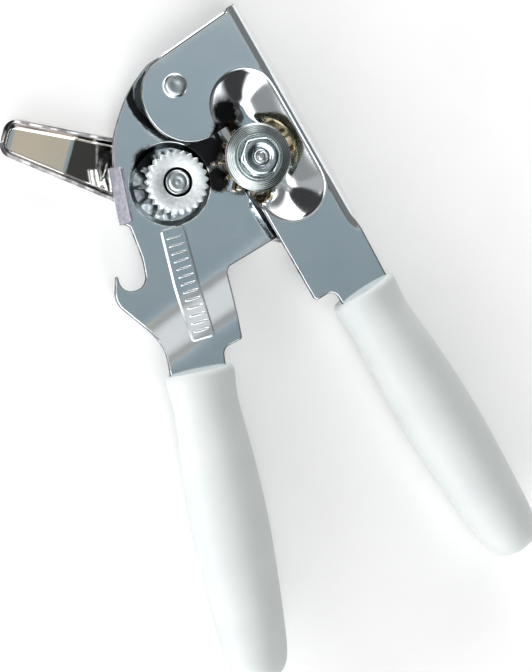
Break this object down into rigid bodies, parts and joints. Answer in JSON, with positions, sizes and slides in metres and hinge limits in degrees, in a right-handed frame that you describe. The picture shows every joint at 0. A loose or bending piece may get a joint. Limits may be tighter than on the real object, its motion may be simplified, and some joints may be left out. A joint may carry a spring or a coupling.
{
  "type": "manual can opener",
  "caption": "Hand-held can opener: two pivoted steel handles with moulded grips, a geared cutting wheel, a serrated feed wheel, a butterfly key and a bottle-opener hook.",
  "frame": {"origin": "centre of the bounding box, at the lowest point, with the opener lying on its back", "axes": "+Z out of the cutter side of the plates, +Y towards the head, +X towards the hinged handle"},
  "size_m": [0.1518, 0.1858, 0.0213],
  "materials": {
    "plate_steel": "bright plated sheet steel",
    "key_chrome": "mirror-bright chrome plate",
    "frosted_zinc": "frosted zinc plate",
    "bronze_zinc": "yellow zinc plate, worn",
    "ground_steel": "turned and ground",
    "dark_steel": "oiled",
    "white_plastic": "satin moulded plastic"
  },
  "bodies": {
    "lower_handle": {"lower_plate": "plate_steel", "lower_grip": "white_plastic", "pivot_rivet": "ground_steel", "pivot_spacer": "dark_steel", "shaft_bushing": "dark_steel"},
    "upper_handle": {"upper_plate": "plate_steel", "upper_grip": "white_plastic", "cutter_stud": "ground_steel", "cutter_nut": "ground_steel", "cutter_washer": "ground_steel"},
    "crank": {"crank_key": "key_chrome", "drive_shaft": "ground_steel", "drive_gear": "bronze_zinc", "feed_wheel": "frosted_zinc", "crank_washer": "dark_steel", "spring_washer": "dark_steel", "crank_collar": "dark_steel"},
    "cutter": {"cutter_wheel": "ground_steel", "cutter_gear": "bronze_zinc", "cutter_bushing": "dark_steel"}
  },
  "joints": [
    {"name": "handle_pivot", "type": "hinge", "parent": "lower_handle", "child": "upper_handle", "pos_m": [-0.02975, 0.06964, 0.0082], "axis": [0, 0, 1], "range_deg": [-15.7, 3]},
    {"name": "crank_spin", "type": "hinge", "parent": "lower_handle", "child": "crank", "pos_m": [-0.02957, 0.04344, 0.0082], "axis": [0, 0, 1], "continuous": true},
    {"name": "cutter_spin", "type": "hinge", "parent": "upper_handle", "child": "cutter", "pos_m": [-0.00722, 0.0506, 0.0082], "axis": [0, 0, 1], "continuous": true}
  ],
  "couplings": [
    {"joint": "cutter_spin", "follows": "crank_spin", "ratio": -1}
  ]
}
